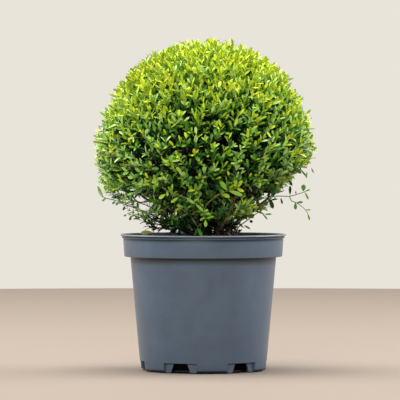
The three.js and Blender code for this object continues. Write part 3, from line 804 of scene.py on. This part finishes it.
# The skirt: from each low bough's tip a spray stem runs out and up with side twigs at five stations,
# as in the solids, and here they branch once more. It is loose enough to show the wall through it,
# lighter towards its ends, and painted lighter in front and at both sides.
STATIONS = [0.08, 0.3, 0.52, 0.74, 0.95]
SIDE_TWIG, SIDE_TWIG_LESS = 34, 3
for (_, az, length, rise), path in zip(LOW, low_boughs):
    out = np.array(bearing(az))
    heading = unit(out + UP * rise)
    across = np.array([out[1], -out[0], 0])
    foot = np.array(path[-1])
    start = foot + unit(foot - np.array(path[-2])) * 6
    end = start + heading * length
    add_stem([foot, start, start + heading * length * 0.5 + UP * 2, end], 2.0, 0.8, False, 8)
    # Painted light: the sprays in front and at both sides are made lighter.
    far_light = 0.1 + 0.1 * (out[1] < 0.2) + graded(out[0], [(-0.4, 0.08), (0, 0), (0.4, 0.13)])
    for i, t in enumerate(STATIONS):
        node = start + heading * length * t
        light = far_light - 0.06 + 0.28 * t
        for hand in (1, -1):
            side = unit(heading * 0.75 + across * hand + UP * 0.25 * rng.normal())
            long = (SIDE_TWIG - SIDE_TWIG_LESS * i) * (0.85 + 0.3 * rng.random())
            add_shoot(node, node + side * long, 4, 14, light + 0.05 * rng.normal(), 0.25, 0.35, 1.0)
            fork = node + side * long * 0.5
            turn = unit(side * 0.5 + UP * (0.5 + 0.4 * rng.random()) + rng.normal(size=3) * 0.35)
            add_shoot(fork, fork + turn * long * 0.8, 3, 13.5, light + 0.05 * rng.normal(), 0.25)
        turn = unit(heading * 0.4 + UP + rng.normal(size=3) * 0.2)
        add_shoot(node, node + turn * long * 1.1, 4, 13.5, light, 0.25)
    add_shoot(end, start + heading * (length + 16), 3, 13, far_light + 0.25, 0.25)

# Leafy spurs on the boughs, painted dark as shade, fill the middle, under the ball.
for path in boughs * 11 + low_boughs[: len(LOW)] * 8:
    k = int(len(path) * (0.45 + 0.5 * rng.random()))
    base = np.array(path[k])
    turn = unit(np.array([rng.normal(), rng.normal(), 0.5 + 0.5 * rng.normal()]))
    add_shoot(base, base + turn * (20 + 16 * rng.random()), 4, 14, 0.02 + 0.07 * rng.normal(), 0.1)

# Round the skirt's left half more shoots lean out, just over the pot's rim.
LEANING = 46
OVER_RIM = 239
for i in range(LEANING):
    turn = math.pi * (0.62 + 0.8 * i / LEANING)
    out = np.array([math.cos(turn), math.sin(turn), 0])
    base = out * (44 + 26 * rng.random()) + UP * (238 + 10 * rng.random())
    along = unit(out + UP * 0.25 * rng.random() + rng.normal(size=3) * 0.25)
    tip = base + along * (26 + 12 * rng.random())
    tip[2] = max(tip[2], OVER_RIM)
    add_shoot(base, tip, 4, 14, 0.02 + 0.1 * rng.random(), 0.16)


# The wall shows through gaps in the skirt at both sides, where the leaves are left off and the twigs
# stay. A few are missing in front too, where a brown branch shows.
GAPS = [  # x, z, half width, half height
    (-112, 288, 11, 6), (-97, 279, 13, 11), (-94, 293, 7, 5), (-139, 301, 8, 5), (-122, 303, 5, 4),
    (-86, 262, 4, 6), (-75, 244, 6, 5), (-73, 254, 3, 3), (-64, 235, 9, 3), (-88, 236, 4, 4),
    (104, 290, 6, 9), (91, 281, 9, 6), (97, 304, 4, 3), (88, 299, 4, 3), (84, 265, 6, 5),
    (68, 262, 5, 5), (58, 271, 4, 4), (52, 258, 4, 5), (74, 250, 10, 6), (41, 235, 8, 4),
    (60, 240, 4, 5),
]
FRONT_GAPS = [  # the same, and the farthest y
    (45, 270, 8, 9, -92), (50, 283, 8, 9, -96), (58, 294, 7, 7, -100),
]
LEAF_MIDDLE = 0.55


def in_gap(point):
    in_front = any(within(point, *spot) and point[1] < far for *spot, far in FRONT_GAPS)
    return in_front or any(within(point, *spot) for spot in GAPS)


leaf_rows = [row for row in leaf_rows if not in_gap(row[0] + row[1] * row[3] * LEAF_MIDDLE)]


# Single shoots that the shears missed, each with leaves of its own. Two run out on the right, with
# their leaves hanging in pairs, and a few loose tips stand out of the crown over them.
add_stem([
    (108, 12, 287), (111.1, 12, 291.4), (129.7, 12, 292.2), (146.6, 11, 292), (166, 10, 297.6),
    (179.6, 10, 303),
], 1.1, 0.6, False, 12)
add_stem([
    (145.8, 11, 291.9), (149, 10.2, 283.9), (155, 10, 281.9), (163.5, 9.5, 276.9), (171.9, 9, 269.6),
    (176.6, 9, 262.5), (179.7, 9, 252.4),
], 0.9, 0.5, False, 12)
for leaf in [
    ((111.1, 12, 289.5), (118.5, 11, 270.9), 7.6, 0.28),
    ((130.6, 11, 289.7), (133.9, 10, 278.5), 3.6, 0.2),
    ((146.6, 10, 293.4), (146.6, 9, 309.8), 5, 0.2),
    ((143, 14, 322.6), (150.5, 10, 309.8), 4.5, 0.28),
    ((156.7, 10, 295.4), (156.1, 7, 300.4), 2.6, 0.3),
    ((169.1, 10, 300), (169.4, 9, 311.8), 8.2, 0.5),
    ((170.9, 10, 299.3), (178.2, 9, 286.2), 3.6, 0.5),
    ((171.9, 10, 300.3), (181, 9, 303.4), 3, 0.6),
    ((157.1, 9.8, 281), (168.5, 8, 282.3), 4.4, 0.48),
    ((155.6, 10, 281.4), (155.7, 9, 269.3), 6.1, 0.52),
    ((172.4, 9, 268.9), (181.5, 8, 268.8), 3, 0.6),
    ((176.4, 9, 262.7), (179.8, 8, 251.4), 3.7, 0.52),
    ((161.8, 30, 340.2), (176.6, 26, 323.4), 3, 0.3),
    ((182.5, 20, 340.2), (186.9, 20, 331.1), 3, 0.6),
    ((175.7, 20, 333.8), (173.9, 18, 322.4), 3, 0.6),
]:
    add_leaf(*leaf)

# On the left a thin curved tip hangs clear, and a row of leaves stands along the skirt's edge.
add_stem([
    (-177.4, -24, 309.6), (-175.2, -22, 298.3), (-167.8, -20, 290.3), (-150, -10, 286),
], 0.5, 0.8, True, 8)
add_stem([
    (-167, -19, 289.5), (-153.5, -18, 286.5), (-140.1, -15, 283.1), (-118, -8, 277),
], 0.5, 0.9, False, 8)
for leaf in [
    ((-167.8, -20, 290.3), (-177.4, -24, 309.6), 4.2, 0.62),
    ((-163.5, -18, 288.9), (-170.4, -20, 283.9), 4, 0.5),
    ((-147.8, -22, 284.4), (-152.9, -24, 279.4), 4, 0.3),
    ((-141.6, -20, 282.5), (-147.3, -22, 277.4), 4, 0.42),
    ((-131.1, -26, 276.7), (-134.9, -28, 268.6), 4, 0.2),
    ((-120.9, -24, 259.4), (-124, -26, 251.8), 4.6, 0.2),
    ((-128.7, -20, 261.9), (-133.7, -22, 258.7), 3.6, 0.5),
]:
    add_leaf(*leaf)

# In front, a yellow-green shoot droops from the left and a long one arches up to the right.
add_stem([
    (-68.4, -150, 309.6), (-59.4, -154, 302.8), (-48, -156, 299.1), (-36.6, -156, 294.2),
    (-21.9, -152, 288.4), (-10.5, -148, 279.7), (-3.1, -144, 272.8), (1.8, -140, 265.3),
    (2.9, -137, 257.1),
], 1.0, 0.6, True, 18)
add_stem([
    (0.4, -90, 255), (0.4, -112, 263.1), (1.7, -120, 271.5), (6.6, -132, 281.6), (15.7, -142, 290.2),
    (29.1, -150, 298.5), (39.3, -154, 303.1), (53.1, -158, 307.6), (59.6, -158, 309.4),
], 1.1, 0.7, True, 18)
for leaf in [
    ((-61.9, -155, 297.7), (-73, -160, 290.5), 6, 0.68),
    ((-59.4, -154, 303.1), (-59, -160, 294.7), 4.5, 0.7),
    ((-40.3, -156, 293), (-53.3, -161, 284), 5.4, 0.6),
    ((-17.8, -150, 301.4), (-24.3, -154, 313.2), 6, 0.62),
    ((-17.8, -150, 296.9), (-9.2, -156, 300.2), 4.4, 0.64),
    ((-16, -150, 286.4), (-8.2, -154, 289.7), 4, 0.64),
    ((-28.4, -154, 291.2), (-14.5, -162, 282.7), 5, 0.62),
    ((-13.7, -150, 282.2), (0, -156, 269.5), 4.6, 0.62),
    ((2, -140, 265), (11.6, -146, 264.8), 4.2, 0.6),
    ((3.4, -137, 256.4), (17, -144, 261.5), 5.2, 0.64),
    ((3.4, -137, 255.1), (3.8, -142, 243.8), 6, 0.6),
    ((2, -138, 259.4), (-5.1, -144, 254.6), 4.2, 0.6),
    ((1.6, -140, 266.3), (-4.6, -145, 262.8), 3.6, 0.5),
    ((29.1, -150, 298.2), (43, -158, 293.1), 7, 0.66),
    ((41.1, -154, 303.1), (64.3, -160, 296.2), 7.4, 0.6),
    ((38.8, -154, 303.4), (27.7, -160, 319.2), 8, 0.6),
    ((29.1, -150, 299.2), (25.8, -155, 311.6), 5, 0.4),
    ((51.8, -158, 307.6), (53.7, -162, 320.8), 5.4, 0.6),
    ((56.1, -158, 308.7), (63.5, -162, 320.1), 5.4, 0.66),
    ((54.3, -158, 306.4), (66.4, -163, 302.2), 5.6, 0.8),
    ((12.3, -138, 288.9), (3.8, -143, 301.4), 6.2, 0.24),
    ((13.3, -138, 287.4), (22.2, -143, 281.7), 4.6, 0.2),
    ((21.4, -118, 262.3), (41.7, -124, 273.2), 7, 0.26),
    ((24, -120, 270.9), (42, -126, 273.9), 5, 0.26),
    ((-18.7, -124, 238.7), (-26.2, -128, 247.7), 8.4, 0.16),
    ((-9.5, -126, 241.7), (-2.3, -137, 227.6), 6.2, 0.3),
    ((-10.8, -124, 244.7), (-19.7, -122, 258.4), 3.6, 0.2),
    ((-9.8, -126, 242.1), (-14.1, -134, 229.2), 4, 0.28),
]:
    add_leaf(*leaf)

# One old leaf has dropped on the rim.
add_leaf((-84.6, -80, 233.6), (-104.3, -84, 232.4), 8, 2, (0, -0.8, 0.6))

# A forked brown branch shows among the front leaves, and a bare twig leans out low on the right.
add_stem([
    (28, -40, 236), (31, -70, 242.4), (42.7, -92, 266.4), (48.3, -97, 278.4), (52.5, -101, 288.7),
    (59.6, -103, 296.8),
], 2.6, 1.6, False, 12)
add_stem([(51.2, -100, 285.7), (47.2, -104, 293.5)], 1.5, 1.0, False, 3)
add_stem([(-6, -80, 236), (-4, -118, 247), (-10, -124, 243)], 0.9, 0.7, True, 6)
add_stem([
    (40, -20, 236), (54.6, -40, 232.3), (58.4, -44, 241.1), (73.7, -48, 252.9), (83.6, -50, 260.6),
    (94.4, -50, 266.3), (101.3, -50, 262.8),
], 1.5, 0.7, False, 14)
for leaf in [
    ((101.6, -50, 262), (114.6, -50, 263.3), 3.8, 0.5),
    ((77.1, -48, 252.6), (82.2, -50, 248.9), 6, 0.02),
    ((67.4, -46, 244.3), (78.6, -50, 238.2), 4, 0.46),
    ((97.9, -50, 264.3), (107.9, -50, 253.6), 2.6, 0.36),
    ((92.9, -50, 265.3), (98.5, -52, 271), 3.6, 0.5),
    ((73.2, -48, 252.9), (70.5, -50, 259.3), 4.4, 0.05),
]:
    add_leaf(*leaf)


# Leaves: leathery blades, most of them 10 to 19 mm long, obovate with a blunt tip, folded a little
# along the midrib and curved back. One blade is shaped once, as a closed skin, and copied to every
# place; the dark ones inside the plant have a plainer one.
FOLD, CURL = 0.18, 0.1
BLADE_THICK = 0.03
TINY = 1e-4


def pattern_of(bm):
    """A small mesh as arrays of its triangles, to be copied; edges between materials are sharp."""
    bmesh.ops.triangulate(bm, faces=bm.faces)
    for parts in (bm.verts, bm.edges, bm.faces):
        parts.index_update()
    pattern = {
        "points": np.array([v.co[:] for v in bm.verts]),
        "edges": np.array([[v.index for v in e.verts] for e in bm.edges]),
        "sharp": np.array([len({f.material_index for f in e.link_faces}) > 1 for e in bm.edges]),
        "corners": np.array([loop.vert.index for f in bm.faces for loop in f.loops]),
        "borders": np.array([loop.edge.index for f in bm.faces for loop in f.loops]),
        "sides": np.array([f.material_index for f in bm.faces]),
    }
    bm.free()
    return pattern


def leaf_blade(stations, halves):
    """A blade one unit long, from the half widths at its stations; its underside is material 1."""
    bm = bmesh.new()
    steps = len(stations) - 1
    bmesh.ops.create_grid(bm, x_segments=steps, y_segments=2, size=0.5)
    for corner in bm.verts:
        i = int(round((corner.co.x + 0.5) * steps))
        v = round(corner.co.y * 2)
        x, y = stations[i], v * halves[i]
        corner.co = (x, y, FOLD * abs(y) - CURL * x * x)
    bmesh.ops.remove_doubles(bm, verts=bm.verts, dist=TINY)
    top = bm.faces[:]
    under = bmesh.ops.duplicate(bm, geom=bm.verts[:] + bm.edges[:] + top)["geom"]
    under_faces = [g for g in under if isinstance(g, bmesh.types.BMFace)]
    for corner in (g for g in under if isinstance(g, bmesh.types.BMVert)):
        if abs(corner.co.y) < TINY and 0.01 < corner.co.x < 0.99:
            corner.co.z -= BLADE_THICK
    bmesh.ops.reverse_faces(bm, faces=under_faces)
    for face in under_faces:
        face.material_index = 1
    bmesh.ops.remove_doubles(bm, verts=bm.verts, dist=TINY)
    bm.normal_update()
    if sum(face.normal.z for face in bm.faces if face.material_index == 0) < 0:
        bmesh.ops.reverse_faces(bm, faces=bm.faces)
    return pattern_of(bm)


def scatter(name, pattern, points):
    """A mesh of many copies of a pattern of triangles: points is (copies, corners, 3) in mm."""
    copies, per = len(points), len(pattern["points"])
    mesh = bpy.data.meshes.new(name)
    step = np.arange(copies)[:, None]
    edges = (pattern["edges"][None] + (step * per)[:, :, None]).reshape(-1)
    corners = (pattern["corners"][None] + step * per).reshape(-1)
    borders = (pattern["borders"][None] + step * len(pattern["edges"])).reshape(-1)
    faces = copies * len(pattern["sides"])
    mesh.vertices.add(copies * per)
    mesh.vertices.foreach_set("co", (points.reshape(-1) * MM).astype(np.float32))
    mesh.edges.add(len(edges) // 2)
    mesh.edges.foreach_set("vertices", edges.astype(np.int32))
    mesh.loops.add(len(corners))
    mesh.loops.foreach_set("vertex_index", corners.astype(np.int32))
    mesh.loops.foreach_set("edge_index", borders.astype(np.int32))
    mesh.polygons.add(faces)
    mesh.polygons.foreach_set("loop_start", np.arange(0, faces * 3, 3, dtype=np.int32))
    mesh.polygons.foreach_set("material_index", np.tile(pattern["sides"], copies).astype(np.int32))
    mesh.attributes.new("sharp_edge", "BOOLEAN", "EDGE").data.foreach_set(
        "value", np.tile(pattern["sharp"], copies)
    )
    mesh.update()
    return mesh


# Waxed leaves: upper sides have a satin gloss, and undersides are paler and duller. Young leaves are
# yellow-green and older ones deeper, and the tones also carry painted light and shade, down to the
# near-black leaves of the deep shade; each tone of leaf is a material of its own. The satin ones are
# the glossiest and paler, a painted sheen for the sky in their wax, and the youngest are still soft and
# shine least.
TONES = [  # lowest tone, name, colour above and below
    (-9, "deep_shade", "#041406", "#0c1f10"),
    (0.05, "shade", "#0b2a0d", "#1a3c20"),
    (0.17, "old", "#1c541a", "#356430"),
    (0.29, "mid", "#408424", "#588c42"),
    (0.41, "fresh", "#6aa830", "#7eac50"),
    (0.53, "bright", "#90c236", "#98bc4a"),
    (0.65, "lime", "#abcc2e", "#aac848"),
    (0.77, "young", "#b7d222", "#b4ca46"),
    (0.89, "tip", "#c2d525", "#becf48"),
    (1.6, "fallen", "#8f9245", "#9a9a5a"),
    (SATIN_PAINTED_SHEEN, "satin_painted_sheen_green", "#7ab25c", "#80aa68"),
    (SATIN_PAINTED_SHEEN + 0.6, "satin_painted_sheen_young", "#aed670", "#accc7a"),
]
MOST_LEAVES = 8000  # in one piece
UNDER_FINISH = (0.6, 0.25)


def upper_finish(lowest):
    """Roughness and specular level of the upper side, by the tone's lowest value."""
    if lowest >= SATIN_PAINTED_SHEEN:
        return 0.3, 0.36
    if 0.7 < lowest < 1:
        return 0.5, 0.34
    return 0.4, 0.36 if lowest > 0.3 else 0.4


full_blade = leaf_blade([0, 0.28, 0.6, 0.86, 1], [0, 0.13, 0.2, 0.145, 0])
plain_blade = leaf_blade([0, 0.4, 0.8, 1], [0, 0.17, 0.17, 0])
root, heading, face = (np.array([row[i] for row in leaf_rows]) for i in range(3))
length, width, tone = (np.array([row[i] for row in leaf_rows]) for i in (3, 4, 5))
side = np.cross(face, heading)
side /= np.linalg.norm(side, axis=1)[:, None]
up = np.cross(heading, side)
masses = ["clipped_ball", "stray_shoot_right", *["low_spray_" + name for name, _, _, _ in LOW]]
ends = [row[0] for row in TONES[1:]] + [9]
for (lowest, name, upper, under), end in zip(TONES, ends):
    skins = []
    for side_name, colour, (rough, gloss) in (
        ("upper", upper, upper_finish(lowest)),
        ("under", under, UNDER_FINISH),
    ):
        waxy, tree, surface = new_material("waxy_box_leaf_" + name + "_" + side_name)
        add_node(
            tree,
            "ShaderNodeBsdfPrincipled",
            {"Base Color": linear(colour), "Roughness": rough, "Specular IOR Level": gloss},
            to=surface,
        )
        skins.append(waxy)
    blade = full_blade if lowest > 0.1 else plain_blade
    x, y, z = (blade["points"][:, i][None, :, None] for i in range(3))
    chosen = np.flatnonzero((tone >= lowest) & (tone < end))
    for k in range(0, len(chosen), MOST_LEAVES):
        part = chosen[k : k + MOST_LEAVES]
        long, wide = length[part][:, None, None], width[part][:, None, None]
        points = root[part][:, None] + long * (
            x * heading[part][:, None] + y * wide * side[part][:, None] + z * up[part][:, None]
        )
        title = "leaves_" + name + ("_%d" % (k // MOST_LEAVES + 1) if len(chosen) > MOST_LEAVES else "")
        leaves = new_piece(title, scatter(title, blade, points), *skins)
        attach(leaves, "root")
        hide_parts(*masses)


# Twigs: this year's are green and faintly square, older ones brown with a thin bark. Each length is a
# three-sided taper, closed at both ends, and the lengths of a twig run into each other.
bm = bmesh.new()
upright = Matrix.Rotation(-math.pi / 2, 4, "Z")
bmesh.ops.create_cone(bm, cap_ends=True, segments=3, radius1=1, radius2=1, depth=1, matrix=upright)
pattern = pattern_of(bm)
x, y, z = (pattern["points"][:, i][None, :, None] for i in range(3))
t = z + 0.5

# Green twigs have a smooth skin with a little sheen, and brown ones a dull, thin bark.
for title, green, colour, rough in (
    ("green_twigs", True, "#7f9a3c", 0.5),
    ("brown_twigs", False, "#84735a", 0.8),
):
    rows = [row for row in twig_rows if bool(row[4]) == green]
    start, end = (np.array([row[i] for row in rows])[:, None] for i in (0, 1))
    r0, r1 = (np.array([row[i] for row in rows])[:, None, None] for i in (2, 3))
    along = end - start
    along /= np.maximum(np.linalg.norm(along, axis=2, keepdims=True), 1e-6)
    across = np.cross(along, ASKEW)
    across /= np.linalg.norm(across, axis=2, keepdims=True)
    up = np.cross(along, across)
    points = start + (end - start) * t + (x * across + y * up) * (r0 + (r1 - r0) * t)
    skin, tree, surface = new_material("twig_bark_" + ("green" if green else "brown"))
    add_node(
        tree,
        "ShaderNodeBsdfPrincipled",
        {"Base Color": linear(colour), "Roughness": rough, "Specular IOR Level": 0.35},
        to=surface,
    )
    twigs = new_piece(title, scatter(title, pattern, points), skin)
    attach(twigs, "root")
    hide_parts(*masses)

bpy.context.view_layer.update()
